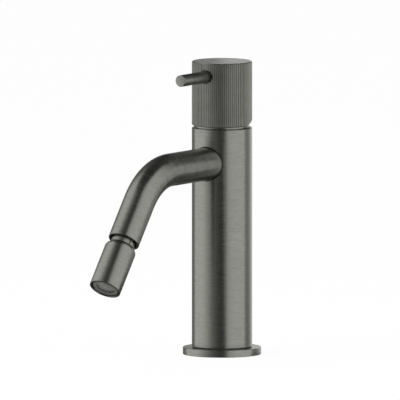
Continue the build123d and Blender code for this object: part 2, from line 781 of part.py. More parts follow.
with BuildPart() as swivel_neck:
    turn([
        (0, -neck_tail),
        (neck_radius, -neck_tail),
        (neck_radius, neck_flange_start),
        (neck_flange_radius, neck_flange_start),
        (neck_flange_radius, neck_length),
        (0, neck_length),
    ], nozzle_frame)
    turn(ring_outline(0, neck_bore_radius, 0, neck_length + overrun), nozzle_frame, mode=Mode.SUBTRACT)
    with Locations(nozzle_frame):
        Sphere(socket_radius, mode=Mode.SUBTRACT)
    with Locations(nozzle_frame):
        with PolarLocations(neck_radius, neck_slit_count, start_angle=neck_slit_turn):
            with Locations((0, 0, slit_end)):
                Box(neck_radius, neck_slit_width, slit_end + neck_tail + overrun,
                    align=(Align.CENTER, Align.CENTER, Align.MAX), mode=Mode.SUBTRACT)
save(swivel_neck, "swivel_neck")

# Casing: the brushed sleeve round the neck and the aerator
casing_radius = casing_diameter / 2
casing_bore_radius = casing_radius - casing_wall
casing_mouth_radius = neck_radius + running_clearance
casing_lip_radius = casing_lip_diameter / 2
shoulder_end = casing_start + casing_shoulder_length

with BuildPart() as nozzle_casing:
    turn([
        (casing_mouth_radius, casing_start),
        (casing_lip_radius, casing_start),
        (casing_radius, shoulder_end),
        (casing_radius, casing_end - casing_rim_chamfer),
        (casing_radius - casing_rim_chamfer, casing_end),
        (casing_bore_radius, casing_end),
        (casing_bore_radius, neck_flange_start),
        (casing_mouth_radius, neck_flange_start),
    ], nozzle_frame)
    shoulder_edge = nozzle_casing.edges().filter_by(GeomType.CIRCLE)
    shoulder_edge = shoulder_edge.filter_by(lambda edge: edge.radius > casing_radius - running_clearance)
    fillet(shoulder_edge.sort_by(Axis(nozzle_frame.origin, nozzle_frame.z_dir))[0],
           radius=casing_shoulder_rounding)
save(nozzle_casing, "nozzle_casing")

with BuildPart() as aerator_washer:
    turn(ring_outline(washer_inner_diameter / 2, casing_bore_radius - slide_clearance,
                      neck_length, neck_length + washer_thickness), nozzle_frame)
save(aerator_washer, "aerator_washer")

# Aerator: a screwed ring with a flow plate inside and a drilled screen behind its lip
aerator_start = neck_length + washer_thickness
aerator_end = casing_end - aerator_recess
screen_end = aerator_end - aerator_lip_length
screen_start = screen_end - screen_thickness
aerator_radius = casing_bore_radius - thread_clearance
aerator_bore_radius = aerator_bore_diameter / 2
aerator_lip_radius = aerator_lip_diameter / 2
aerator_mouth_radius = aerator_mouth_diameter / 2
screen_radius = aerator_bore_radius - running_clearance

with BuildPart() as aerator_housing:
    turn([
        (aerator_bore_radius, aerator_start),
        (aerator_radius, aerator_start),
        (aerator_radius, aerator_end - aerator_lip_depth),
        (aerator_lip_radius, aerator_end - aerator_lip_depth),
        (aerator_lip_radius, aerator_end),
        (aerator_mouth_radius, aerator_end),
        (aerator_mouth_radius, screen_end),
        (aerator_bore_radius, screen_end),
    ], nozzle_frame)
save(aerator_housing, "aerator_housing")

with BuildPart() as flow_plate:
    with BuildSketch(nozzle_frame.offset(flow_plate_start)) as flow_holes:
        Circle(screen_radius)
        with PolarLocations(flow_circle_diameter / 2, flow_hole_count):
            Circle(flow_hole_diameter / 2, mode=Mode.SUBTRACT)
    extrude(flow_holes.sketch, amount=flow_plate_thickness)
save(flow_plate, "flow_plate")

with BuildPart() as aerator_screen:
    with BuildSketch(nozzle_frame.offset(screen_start)) as screen_net:
        Circle(screen_radius)
        Circle(screen_hole_diameter / 2, mode=Mode.SUBTRACT)
        for ring_number in range(1, screen_ring_count + 1):
            for side_number in range(6):
                corner = Vector(screen_pitch * ring_number, 0).rotate(Axis.Z, side_number * 60)
                step = Vector(screen_pitch, 0).rotate(Axis.Z, side_number * 60 + 120)
                places = [corner + step * share for share in range(ring_number)]
                with Locations(*places):
                    Circle(screen_hole_diameter / 2, mode=Mode.SUBTRACT)
    extrude(screen_net.sketch, amount=screen_thickness)
save(aerator_screen, "aerator_screen")
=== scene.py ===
# %% [markdown]
# The object is a tall bidet mixer: a round-brushed column on a thin foot ring, a bent tube spout
# with a swivel nozzle, and a fluted cap handle with a pin lever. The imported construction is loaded
# first and stays as it is. Everything below dresses it.

import json
import math

import bmesh
import bpy
from mathutils import Matrix, Vector


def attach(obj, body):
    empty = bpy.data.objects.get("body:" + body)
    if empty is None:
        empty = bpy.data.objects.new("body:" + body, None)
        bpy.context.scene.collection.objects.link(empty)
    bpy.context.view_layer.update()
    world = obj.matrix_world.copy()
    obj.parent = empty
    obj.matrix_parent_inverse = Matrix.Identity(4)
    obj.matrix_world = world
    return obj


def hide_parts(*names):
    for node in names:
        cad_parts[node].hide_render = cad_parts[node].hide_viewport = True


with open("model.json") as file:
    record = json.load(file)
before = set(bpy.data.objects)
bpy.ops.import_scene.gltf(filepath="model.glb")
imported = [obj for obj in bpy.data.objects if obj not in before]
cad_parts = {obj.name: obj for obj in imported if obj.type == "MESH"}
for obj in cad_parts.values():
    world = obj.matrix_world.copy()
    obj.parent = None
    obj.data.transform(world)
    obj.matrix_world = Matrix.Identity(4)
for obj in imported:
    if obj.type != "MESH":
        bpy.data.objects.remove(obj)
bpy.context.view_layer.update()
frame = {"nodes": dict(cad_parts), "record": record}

# %% [markdown]
# The photograph's view has no perspective: the column is as wide at its foot as at its top. So the
# camera is orthographic. The roundness of the foot and of the handle's top gives the camera's
# height, the place of the spout's root on the column gives its angle to the side, and the column's
# 40 mm across 60.4 pixels gives the scale.

# %% Camera
IMAGE_PIXELS = 400
PIXELS_PER_METRE = 1509.5
CAMERA_AZIMUTH = math.radians(33.0)
CAMERA_ELEVATION = math.radians(6.08)
CAMERA_DISTANCE = 1.5
FOOT_PIXEL_X = 222.03
FOOT_PIXEL_Y = 353.66

to_camera = Vector((
    math.sin(CAMERA_AZIMUTH) * math.cos(CAMERA_ELEVATION),
    -math.cos(CAMERA_AZIMUTH) * math.cos(CAMERA_ELEVATION),
    math.sin(CAMERA_ELEVATION),
))
camera_turn = (-to_camera).to_track_quat("-Z", "Y")
image_right = camera_turn @ Vector((1, 0, 0))
image_up = camera_turn @ Vector((0, 1, 0))
middle = IMAGE_PIXELS / 2
view_centre = (
    image_right * (middle - FOOT_PIXEL_X) + image_up * (FOOT_PIXEL_Y - middle)
) / PIXELS_PER_METRE

camera_data = bpy.data.cameras.new("photo_camera")
camera_data.type = "ORTHO"
camera_data.ortho_scale = IMAGE_PIXELS / PIXELS_PER_METRE
camera = bpy.data.objects.new("photo_camera", camera_data)
camera.rotation_mode = "QUATERNION"
camera.rotation_quaternion = camera_turn
camera.location = view_centre + to_camera * CAMERA_DISTANCE
bpy.context.scene.collection.objects.link(camera)
bpy.context.scene.camera = camera
bpy.context.scene.view_settings.view_transform = "Standard"
print("camera at", [round(value, 3) for value in camera.location])

# %% [markdown]
# A product photograph of metal is mostly a photograph of what stands round it. Here that is a white
# room: the world is white for the camera and for reflections, and a plain light grey for the light
# that falls on rubber, plastic and the floor.

# %% White room
WHITE = (1.0, 1.0, 1.0, 1.0)
ROOM_LIGHT_LEVEL = 0.8


def link(tree, source, target):
    """Joins two sockets of a node tree."""
    tree.links.new(source, target)


def math_node(tree, operation, second=None):
    """Adds a Math node, with its second number set where one is given."""
    node = tree.nodes.new("ShaderNodeMath")
    node.operation = operation
    if second is not None:
        node.inputs[1].default_value = second
    return node


def white_glow(tree, kind, strength):
    """Adds a white Background or Emission node."""
    node = tree.nodes.new(kind)
    node.inputs["Color"].default_value = WHITE
    node.inputs["Strength"].default_value = strength
    return node


world = bpy.data.worlds.new("white_room")
world.use_nodes = True
bpy.context.scene.world = world
room = world.node_tree
room.nodes.clear()
light_path = room.nodes.new("ShaderNodeLightPath")
sees_camera = math_node(room, "MAXIMUM")
sees_white = math_node(room, "MAXIMUM")
room_light = white_glow(room, "ShaderNodeBackground", ROOM_LIGHT_LEVEL)
white_background = white_glow(room, "ShaderNodeBackground", 1.0)
room_mix = room.nodes.new("ShaderNodeMixShader")
room_output = room.nodes.new("ShaderNodeOutputWorld")
link(room, light_path.outputs["Is Camera Ray"], sees_camera.inputs[0])
link(room, light_path.outputs["Is Glossy Ray"], sees_camera.inputs[1])
link(room, sees_camera.outputs[0], sees_white.inputs[0])
link(room, light_path.outputs["Is Transmission Ray"], sees_white.inputs[1])
link(room, sees_white.outputs[0], room_mix.inputs["Fac"])
link(room, room_light.outputs[0], room_mix.inputs[1])
link(room, white_background.outputs[0], room_mix.inputs[2])
link(room, room_mix.outputs[0], room_output.inputs["Surface"])
print("world:", world.name)

# %% [markdown]
# A white room alone would make the metal flat. Photographers stand dark cards, called flags, round
# it, and their reflections are the dark bands that show how round it is. Each flag here is an
# upright wall on a circle round the object, given by (angle, brightness) points. Angles count from
# the camera towards the right. The front wall is tall, because the falling leg of the spout leans
# back and mirrors what stands high above the camera. Behind the object the bright part is only a
# strip with dark above and below, which gives the level leg its dark top and belly. Only
# reflections see the flags, as if they stood outside the frame.

# %% Flags
FLAG_DISTANCE = 0.8
FLAG_STEP = math.radians(3)
FLAT_FLAG_RADIUS = FLAG_DISTANCE * 1.05
FLAT_FLAG_CORNERS = 48
CAMERA_BEARING = CAMERA_AZIMUTH - math.pi / 2

flag_paint = bpy.data.materials.new("flag_paint")
flag_paint.use_nodes = True
flag_nodes = flag_paint.node_tree
flag_nodes.nodes.clear()
flag_level = flag_nodes.nodes.new("ShaderNodeAttribute")
flag_level.attribute_name = "level"
flag_glow = flag_nodes.nodes.new("ShaderNodeEmission")
flag_output = flag_nodes.nodes.new("ShaderNodeOutputMaterial")
link(flag_nodes, flag_level.outputs["Fac"], flag_glow.inputs["Strength"])
link(flag_nodes, flag_glow.outputs[0], flag_output.inputs["Surface"])
flag_paint.cycles.emission_sampling = "NONE"


def object_from(maker, name, material):
    """Turns a bmesh into an object of the scene, with one material."""
    mesh = bpy.data.meshes.new(name)
    maker.to_mesh(mesh)
    maker.free()
    mesh.materials.append(material)
    thing = bpy.data.objects.new(name, mesh)
    bpy.context.scene.collection.objects.link(thing)
    return thing


def add_flag(maker, name):
    """Makes a flag that only reflections see, as part of the studio."""
    panel = object_from(maker, name, flag_paint)
    panel.visible_camera = False
    panel.visible_diffuse = False
    panel.visible_transmission = False
    panel.visible_shadow = False


def upright_flag(name, points, low, high):
    """Bends an upright card round the object, with its brightness given at some angles."""
    maker = bmesh.new()
    level_layer = maker.verts.layers.float.new("level")
    for (start, start_level), (end, end_level) in zip(points, points[1:]):
        start_angle = CAMERA_BEARING + math.radians(start)
        sweep = math.radians(end - start)
        steps = max(1, round(sweep / FLAG_STEP))
        place = Vector((math.cos(start_angle), math.sin(start_angle), 0)) * FLAG_DISTANCE
        foot = maker.verts.new(place + Vector((0, 0, low)))
        head = maker.verts.new(place + Vector((0, 0, high)))
        side = maker.edges.new((foot, head))
        before = set(maker.verts) - {foot, head}
        bmesh.ops.spin(maker, geom=[foot, head, side], cent=(0, 0, 0), axis=(0, 0, 1),
                       angle=sweep, steps=steps)
        for vert in set(maker.verts) - before:
            turned = (math.atan2(vert.co.y, vert.co.x) - start_angle) % (2 * math.pi)
            share = 0 if turned > sweep + FLAG_STEP else min(1, turned / sweep)
            vert[level_layer] = start_level + (end_level - start_level) * share
    add_flag(maker, name)


def flat_flag(name, height, level):
    """Lays a round card over or under the object."""
    maker = bmesh.new()
    level_layer = maker.verts.layers.float.new("level")
    bmesh.ops.create_circle(maker, cap_ends=True, radius=FLAT_FLAG_RADIUS,
                            segments=FLAT_FLAG_CORNERS, matrix=Matrix.Translation((0, 0, height)))
    for vert in maker.verts:
        vert[level_layer] = level
    add_flag(maker, name)


FLAG_BOTTOM = -0.5
FLAG_TOP = 1.6
STRIP_BOTTOM = -0.12
STRIP_TOP = 0.36

upright_flag("front_flag", [
    (-80, 1.0), (-68, 0.85), (-55, 0.62), (-43, 0.4), (-31, 0.24), (-19, 0.15), (-8, 0.08),
    (8, 0.09), (14, 0.3), (20, 0.8), (40, 0.92), (95, 0.95),
], FLAG_BOTTOM, FLAG_TOP)
upright_flag("right_strip_flag", [(98, 0.4), (120, 0.42), (145, 0.95), (180, 0.8)],
             STRIP_BOTTOM, STRIP_TOP)
upright_flag("right_low_flag", [(98, 0.06), (180, 0.05)], FLAG_BOTTOM, STRIP_BOTTOM)
upright_flag("right_high_flag", [(98, 0.07), (180, 0.05)], STRIP_TOP, FLAG_TOP)
upright_flag("left_flag", [(-180, 0.4), (-150, 0.2), (-128, 0.3)], FLAG_BOTTOM, STRIP_TOP)
upright_flag("left_high_flag", [(-180, 0.05), (-146, 0.05), (-128, 0.5)], STRIP_TOP, FLAG_TOP)
flat_flag("ceiling_flag", FLAG_TOP, 0.05)
flat_flag("ground_flag", FLAG_BOTTOM, 0.06)

# %% [markdown]
# The floor is a plain pale sheet. It takes the soft shadow of the object, and a share of plain white
# for the camera lifts it to the photograph's white. Reflections look past it into the white room,
# because a floor in them would wash the dark bands out near the foot.

# %% Floor
FLOOR_SIZE = 14.0
FLOOR_DEPTH = 0.0002
FLOOR_WHITE_SHARE = 0.94
FLOOR_COLOUR = (0.92, 0.92, 0.92, 1.0)

floor_paint = bpy.data.materials.new("pale_floor")
floor_paint.use_nodes = True
floor_nodes = floor_paint.node_tree
floor_nodes.nodes.clear()
floor_path = floor_nodes.nodes.new("ShaderNodeLightPath")
floor_share = math_node(floor_nodes, "MULTIPLY", FLOOR_WHITE_SHARE)
floor_matt = floor_nodes.nodes.new("ShaderNodeBsdfDiffuse")
floor_matt.inputs["Color"].default_value = FLOOR_COLOUR
floor_white = white_glow(floor_nodes, "ShaderNodeEmission", 1.0)
floor_mix = floor_nodes.nodes.new("ShaderNodeMixShader")
floor_output = floor_nodes.nodes.new("ShaderNodeOutputMaterial")
link(floor_nodes, floor_path.outputs["Is Camera Ray"], floor_share.inputs[0])
link(floor_nodes, floor_share.outputs[0], floor_mix.inputs["Fac"])
link(floor_nodes, floor_matt.outputs[0], floor_mix.inputs[1])
link(floor_nodes, floor_white.outputs[0], floor_mix.inputs[2])
link(floor_nodes, floor_mix.outputs[0], floor_output.inputs["Surface"])

floor_maker = bmesh.new()
bmesh.ops.create_grid(floor_maker, x_segments=1, y_segments=1, size=FLOOR_SIZE / 2,
                      matrix=Matrix.Translation((0, 0, -FLOOR_DEPTH)))
floor = object_from(floor_maker, "floor", floor_paint)
floor.visible_glossy = False
print("floor:", FLOOR_SIZE, "m")

# %% [markdown]
# One large soft lamp from the upper left and a weaker one from the right light the matt pieces and
# give the floor its shadow. The metal doesn't see them, because the room already lights it.

# %% Lamps
LAMP_SIZE = 0.9
LAMP_TARGET = Vector((0, 0, 0.1))


def soft_lamp(name, place, power):
    """Hangs a square lamp that faces the middle of the object."""
    lamp_data = bpy.data.lights.new(name, "AREA")
    lamp_data.shape = "SQUARE"
    lamp_data.size = LAMP_SIZE
    lamp_data.energy = power
    lamp = bpy.data.objects.new(name, lamp_data)
    lamp.location = place
    lamp.rotation_mode = "QUATERNION"
    lamp.rotation_quaternion = (LAMP_TARGET - Vector(place)).to_track_quat("-Z", "Y")
    lamp.visible_glossy = False
    bpy.context.scene.collection.objects.link(lamp)
    return lamp


key_lamp = soft_lamp("key_lamp", (-0.5, -0.9, 1.2), 7.0)
fill_lamp = soft_lamp("fill_lamp", (1.1, -0.2, 0.8), 3.0)
print("lamps:", key_lamp.name, fill_lamp.name)

# %% [markdown]
# The metal is steel with a dark plated colour, brushed round every tube. Brushing does two things.
# It leaves fine streaks, and it spreads highlights across the streaks. The streaks are noise that is
# stretched along the brushing. The spread is the shader's anisotropy, which needs a direction: on
# the new pieces that is a UV map, and on the round CAD pieces it runs round the Z axis.

# Each noise is named by its fineness across the streaks, its fineness along them and its detail.

# %% Noise helpers
GUNMETAL = (0.30, 0.305, 0.275)
NOISE_ROUGHNESS = 0.6
NOISE_LOW = 0.3
NOISE_HIGH = 0.7


def streak_noise(tree, place, across, along, detail):
    """Noise drawn out round the piece: fine along its axis and long round it."""
    stretch = tree.nodes.new("ShaderNodeMapping")
    stretch.inputs["Scale"].default_value = (along, along, across)
    noise = tree.nodes.new("ShaderNodeTexNoise")
    noise.inputs["Scale"].default_value = 1.0
    noise.inputs["Detail"].default_value = detail
    noise.inputs["Roughness"].default_value = NOISE_ROUGHNESS
    link(tree, place, stretch.inputs["Vector"])
    link(tree, stretch.outputs[0], noise.inputs["Vector"])
    return noise.outputs["Fac"]


def ranged(tree, value, low, high, from_low=NOISE_LOW, from_high=NOISE_HIGH):
    """Maps a noise value to a range."""
    node = tree.nodes.new("ShaderNodeMapRange")
    node.inputs["From Min"].default_value = from_low
    node.inputs["From Max"].default_value = from_high
    node.inputs["To Min"].default_value = low
    node.inputs["To Max"].default_value = high
    link(tree, value, node.inputs["Value"])
    return node.outputs["Result"]


def tinted(tree, value, colour, low, high):
    """A colour that gets lighter and darker with a value."""
    shade = ranged(tree, value, low, high)
    scale = tree.nodes.new("ShaderNodeVectorMath")
    scale.operation = "SCALE"
    scale.inputs[0].default_value = colour
    link(tree, shade, scale.inputs["Scale"])
    return scale.outputs["Vector"]


def new_material(name, metallic):
    """Starts a material: returns it, its tree and its shader."""
    material = bpy.data.materials.new(name)
    material.use_nodes = True
    tree = material.node_tree
    shader = tree.nodes["Principled BSDF"]
    shader.inputs["Metallic"].default_value = metallic
    return material, tree, shader


def object_place(tree, turn=0.0):
    """Object coordinates, turned about X so that Z runs along a tilted piece."""
    source = tree.nodes.new("ShaderNodeTexCoord")
    turned = tree.nodes.new("ShaderNodeMapping")
    turned.inputs["Rotation"].default_value = (turn, 0.0, 0.0)
    link(tree, source.outputs["Object"], turned.inputs["Vector"])
    return turned.outputs[0]


def lay_place(tree):
    """The place that a vertex had on the lathe, before its piece was bent or tilted."""
    source = tree.nodes.new("ShaderNodeAttribute")
    source.attribute_name = "lay"
    return source.outputs["Vector"]


def roughened(tree, shader, height, strength, distance):
    """Raises a height as bumps."""
    relief = tree.nodes.new("ShaderNodeBump")
    relief.inputs["Strength"].default_value = strength
    relief.inputs["Distance"].default_value = distance
    link(tree, height, relief.inputs["Height"])
    link(tree, relief.outputs[0], shader.inputs["Normal"])


print("gunmetal:", GUNMETAL)

# %% [markdown]
# One recipe makes every brushed piece, so that the streaks are as wide on the spout as on the
# column. Two noises lie over each other: a fine one for the single scratches and a broad one for the
# slow change that a brushing belt leaves. They move the colour and the roughness only a little.

# %% Brushed metal
BRUSH_SPREAD = 0.65
QUARTER_TURN = 0.25
STREAK_CONTRAST = 0.17
FINE_STREAKS = (1500.0, 150.0, 3.0)
BROAD_STREAKS = (600.0, 60.0, 2.0)
FINE_SHARE = 0.75
ROUGHNESS_SPREAD = 0.05
STREAK_BUMP = 0.25
STREAK_DEPTH = 0.00002


def brushed(name, on_lathe, roughness=0.3, colour=GUNMETAL):
    """Metal brushed round its axis, on a turned piece or on a CAD piece that stands upright."""
    material, tree, shader = new_material(name, 1.0)
    place = lay_place(tree) if on_lathe else object_place(tree)
    fine = streak_noise(tree, place, *FINE_STREAKS)
    broad = streak_noise(tree, place, *BROAD_STREAKS)
    both = math_node(tree, "MULTIPLY_ADD", FINE_SHARE)
    link(tree, fine, both.inputs[0])
    link(tree, ranged(tree, broad, 0.0, 1 - FINE_SHARE, 0.0, 1.0), both.inputs[2])
    link(tree, tinted(tree, both.outputs[0], colour, 1 - STREAK_CONTRAST, 1 + STREAK_CONTRAST),
         shader.inputs["Base Color"])
    link(tree, ranged(tree, both.outputs[0], roughness - ROUGHNESS_SPREAD,
                      roughness + ROUGHNESS_SPREAD), shader.inputs["Roughness"])
    roughened(tree, shader, fine, STREAK_BUMP, STREAK_DEPTH)
    shader.inputs["Anisotropic"].default_value = BRUSH_SPREAD
    shader.inputs["Anisotropic Rotation"].default_value = QUARTER_TURN
    direction = tree.nodes.new("ShaderNodeTangent")
    if on_lathe:
        direction.direction_type = "UV_MAP"
        direction.uv_map = "brush_map"
    else:
        direction.direction_type = "RADIAL"
        direction.axis = "Z"
    link(tree, direction.outputs[0], shader.inputs["Tangent"])
    return material


tube_metal = brushed("brushed_tube_metal", True)
column_metal = brushed("brushed_column_metal", False)
print("metals:", tube_metal.name, column_metal.name)

# %% [markdown]
# The lever is turned, not brushed: its rings are finer and catch more light, most of all on the
# faced end. The neck of the nozzle is turned too, but it comes with the construction, so its
# rings follow object coordinates that are turned to its slanting axis.

# %% Turned metal
FALL_ANGLE = math.radians(52.5)
FALL_TILT = math.radians(90) + FALL_ANGLE
TURNING_RINGS = (2400.0, 160.0, 3.0)
RING_BUMP = 0.35


def turned(name, on_lathe, tilt=0.0, roughness=0.34, colour=GUNMETAL, contrast=0.2):
    """Metal with fine turning rings, spread alike in all directions."""
    material, tree, shader = new_material(name, 1.0)
    place = lay_place(tree) if on_lathe else object_place(tree, tilt)
    rings = streak_noise(tree, place, *TURNING_RINGS)
    link(tree, tinted(tree, rings, colour, 1 - contrast, 1 + contrast), shader.inputs["Base Color"])
    link(tree, ranged(tree, rings, roughness - ROUGHNESS_SPREAD, roughness + ROUGHNESS_SPREAD),
         shader.inputs["Roughness"])
    roughened(tree, shader, rings, RING_BUMP, STREAK_DEPTH)
    return material


turned_metal = turned("turned_lever_metal", True, contrast=0.3)
neck_metal = turned("turned_neck_metal", False, tilt=FALL_TILT, contrast=0.1)
print("turned:", turned_metal.name, neck_metal.name)

# %% [markdown]
# The flutes are cut into the handle's shape. Their many small faces already break the reflections
# up, so the metal on them is rougher and has no brushing direction. A slow noise gives the patches
# that plating leaves between the ribs, and a fine one the grain. The flat top was turned after the
# flutes were cut, so above a level near the top the same metal is smoother.

# %% Fluted metal
FLUTED_ROUGHNESS = 0.43
TOP_FACE_LEVEL = 0.1948
TOP_FACE_SMOOTHING = 0.2
FLUTE_GRAIN = (900.0, 500.0, 4.0)
PLATING_PATCHES = (160.0, 110.0, 2.0)
GRAIN_SHARE = 0.5
FLUTED_CONTRAST = 0.12
GRAIN_SPREAD = 0.06
FLUTED_BUMP = 0.3
GRAIN_DEPTH = 0.00003

fluted_metal, fluted_tree, fluted_shader = new_material("fluted_handle_metal", 1.0)
fluted_place = object_place(fluted_tree)
grain = streak_noise(fluted_tree, fluted_place, *FLUTE_GRAIN)
patches = streak_noise(fluted_tree, fluted_place, *PLATING_PATCHES)
grain_and_patches = math_node(fluted_tree, "MULTIPLY_ADD", GRAIN_SHARE)
link(fluted_tree, grain, grain_and_patches.inputs[0])
link(fluted_tree, ranged(fluted_tree, patches, 0.0, 1 - GRAIN_SHARE, 0.0, 1.0),
     grain_and_patches.inputs[2])
link(fluted_tree, tinted(fluted_tree, grain_and_patches.outputs[0], GUNMETAL,
                         1 - FLUTED_CONTRAST, 1 + FLUTED_CONTRAST),
     fluted_shader.inputs["Base Color"])
fluted_axes = fluted_tree.nodes.new("ShaderNodeSeparateXYZ")
top_face = math_node(fluted_tree, "GREATER_THAN", TOP_FACE_LEVEL)
smoother = math_node(fluted_tree, "MULTIPLY_ADD", -TOP_FACE_SMOOTHING)
link(fluted_tree, fluted_place, fluted_axes.inputs[0])
link(fluted_tree, fluted_axes.outputs["Z"], top_face.inputs[0])
link(fluted_tree, top_face.outputs[0], smoother.inputs[0])
link(fluted_tree, ranged(fluted_tree, grain, FLUTED_ROUGHNESS - GRAIN_SPREAD,
                         FLUTED_ROUGHNESS + GRAIN_SPREAD), smoother.inputs[2])
link(fluted_tree, smoother.outputs[0], fluted_shader.inputs["Roughness"])
roughened(fluted_tree, fluted_shader, grain, FLUTED_BUMP, GRAIN_DEPTH)
print("fluted:", fluted_metal.name)

# %% [markdown]
# Inside are brass and steel that stay bright from the lathe, and pieces pressed or moulded in
# rubber, plastic and ceramic. Moulded pieces have no rings, but a fine even grain and a slow change
# of tone, which keeps them from looking like flat paint where they show.

# %% Inner materials
MOULDED_DETAIL = 3.0
MOULDED_BUMP = 0.2


def moulded(name, colour, roughness, grain_size, contrast=0.08):
    """Rubber, plastic or ceramic with a fine grain."""
    material, tree, shader = new_material(name, 0.0)
    place = object_place(tree)
    fine = streak_noise(tree, place, grain_size, grain_size, MOULDED_DETAIL)
    link(tree, tinted(tree, fine, colour, 1 - contrast, 1 + contrast), shader.inputs["Base Color"])
    link(tree, ranged(tree, fine, roughness - GRAIN_SPREAD, roughness + GRAIN_SPREAD),
         shader.inputs["Roughness"])
    roughened(tree, shader, fine, MOULDED_BUMP, GRAIN_DEPTH)
    return material


brass = turned("machined_brass", False, roughness=0.26, colour=(0.78, 0.62, 0.33), contrast=0.08)
steel = turned("plain_steel", False, roughness=0.28, colour=(0.62, 0.62, 0.6), contrast=0.08)
rubber = moulded("black_rubber_grain", (0.05, 0.05, 0.05), 0.7, 700.0, 0.15)
housing_plastic = moulded("housing_plastic_grain", (0.8, 0.8, 0.78), 0.42, 600.0, 0.05)
slider_plastic = moulded("slider_plastic_grain", (0.16, 0.16, 0.17), 0.3, 600.0)
ceramic = moulded("ceramic_disc_grain", (0.9, 0.89, 0.85), 0.14, 900.0, 0.03)
seat_plastic = moulded("seat_ring_grain", (0.03, 0.03, 0.03), 0.5, 700.0)
aerator_plastic = moulded("aerator_plastic_grain", (0.13, 0.13, 0.12), 0.42, 800.0, 0.2)
net_plastic = moulded("aerator_net_grain", (0.34, 0.34, 0.32), 0.42, 1400.0, 0.35)
print("inner:", brass.name, steel.name, rubber.name, ceramic.name)

# %% [markdown]
# Most of the tap is turned on a lathe, and a script can turn it the same way. The outline of a
# piece is drawn beside the axis, its corners are rounded, and it is spun once round. While the piece
# is still straight and upright, each vertex notes its place in an attribute called lay, and a UV map
# records the way round. Both stay true when the piece is bent or tilted afterwards. The radius is
# added to the height in lay, so that streaks become rings on an end face, as a lathe leaves them.

# %% Lathe
LATHE_STEPS = 128
SHARP_ANGLE = math.radians(25)
UV_LENGTH = 0.1
LONG_SIDE = 0.02
ROUNDING_STEPS = 4
MERGE_DISTANCE = 0.000001
AXIS_RADIUS = 0.00001
RIM_ROUNDING = 0.0003
EDGE_ROUNDING = 0.0002


def turn_outline(outline, cuts=0):
    """Spins a closed outline of (radius, height, rounding) points round Z, all in metres."""
    maker = bmesh.new()
    points = [maker.verts.new((radius, 0, height)) for radius, height, rounding in outline]
    for pair in zip(points, points[1:] + points[:1]):
        maker.edges.new(pair)
    for point, (radius, height, rounding) in zip(points, outline):
        if rounding:
            bmesh.ops.bevel(maker, geom=[point], offset=rounding, offset_type="OFFSET",
                            segments=ROUNDING_STEPS, profile=0.5, affect="VERTICES", material=-1)
    if cuts:
        long_sides = [edge for edge in maker.edges if edge.calc_length() > LONG_SIDE]
        bmesh.ops.subdivide_edges(maker, edges=long_sides, cuts=cuts)
    bmesh.ops.spin(maker, geom=maker.verts[:] + maker.edges[:], cent=(0, 0, 0), axis=(0, 0, 1),
                   angle=math.tau, steps=LATHE_STEPS, use_merge=True)
    bmesh.ops.remove_doubles(maker, verts=maker.verts[:], dist=MERGE_DISTANCE)
    bmesh.ops.recalc_face_normals(maker, faces=maker.faces[:])
    return maker


def note_lay(maker):
    """Stores each vertex's place on the lathe, and a UV map that runs round and along."""
    lay_layer = maker.verts.layers.float_vector.new("lay")
    for vert in maker.verts:
        vert[lay_layer] = vert.co + Vector((0, 0, vert.co.xy.length))
    uv_layer = maker.loops.layers.uv.new("brush_map")
    for face in maker.faces:
        centre = face.calc_center_median()
        middle_angle = math.atan2(centre.y, centre.x)
        for corner in face.loops:
            place = corner.vert.co
            on_axis = place.xy.length <= AXIS_RADIUS
            angle = middle_angle if on_axis else math.atan2(place.y, place.x)
            angle += math.tau * round((middle_angle - angle) / math.tau)
            corner[uv_layer].uv = (angle / math.tau, (place.z + place.xy.length) / UV_LENGTH)


def finish_piece(maker, name, body, slot, material, *nodes):
    """Turns a bmesh into a smooth piece that rides on a body and stands for CAD nodes."""
    piece = object_from(maker, name, material)
    piece.data.shade_smooth()
    piece.data.set_sharp_from_angle(angle=SHARP_ANGLE)
    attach(piece, body)
    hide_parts(*nodes)
    print(name, len(piece.data.polygons), "faces")


def aim(maker, origin, forward):
    """Moves a turned piece from the lathe so that its Z runs forward, with X kept."""
    upward = forward.cross(Vector((1, 0, 0)))
    turn = Matrix((Vector((1, 0, 0)), upward, forward)).transposed().to_4x4()
    bmesh.ops.transform(maker, matrix=Matrix.Translation(origin) @ turn, verts=maker.verts[:])


print("lathe steps:", LATHE_STEPS)

# %% [markdown]
# The foot is a thin turned ring that lies on the deck. Its upper face is turned too, so its streaks
# run round the column. A groove in its underside holds the rubber gasket, and stays open here.

# %% Foot ring
FOOT_RADIUS = 0.026
FOOT_HEIGHT = 0.0047
FOOT_BORE = 0.016
GROOVE_INSIDE = 0.0209
GROOVE_OUTSIDE = 0.0236
GROOVE_DEPTH = 0.0015

foot_maker = turn_outline([
    (FOOT_BORE, 0, 0), (GROOVE_INSIDE, 0, 0), (GROOVE_INSIDE, GROOVE_DEPTH, 0),
    (GROOVE_OUTSIDE, GROOVE_DEPTH, 0), (GROOVE_OUTSIDE, 0, 0), (FOOT_RADIUS, 0, RIM_ROUNDING),
    (FOOT_RADIUS, FOOT_HEIGHT, RIM_ROUNDING), (FOOT_BORE, FOOT_HEIGHT, 0),
])
note_lay(foot_maker)
finish_piece(foot_maker, "foot_ring", "mixer_body", "brushed_gunmetal", tube_metal, "base_ring")

# %% [markdown]
# The spout is one tube, bent once. It could be a curve with a round bevel, but then its end would
# be cut square with no rounded rim. Here the whole tube is turned straight, walls, rims and all,
# with the slight taper that the photograph shows. Then each ring that lies past the start of the
# bend is carried round the bend's centre.

# %% Spout tube
SPOUT_HEIGHT = 0.1281
SPOUT_ROOT = 0.0165
SPOUT_CORNER = 0.0869
BEND_RADIUS = 0.0473
FALL_LENGTH = 0.0539
SPOUT_RADIUS = 0.0109
MOUTH_RADIUS = 0.0106
MOUTH_WALL = 0.0014
BEND_CUTS = 48

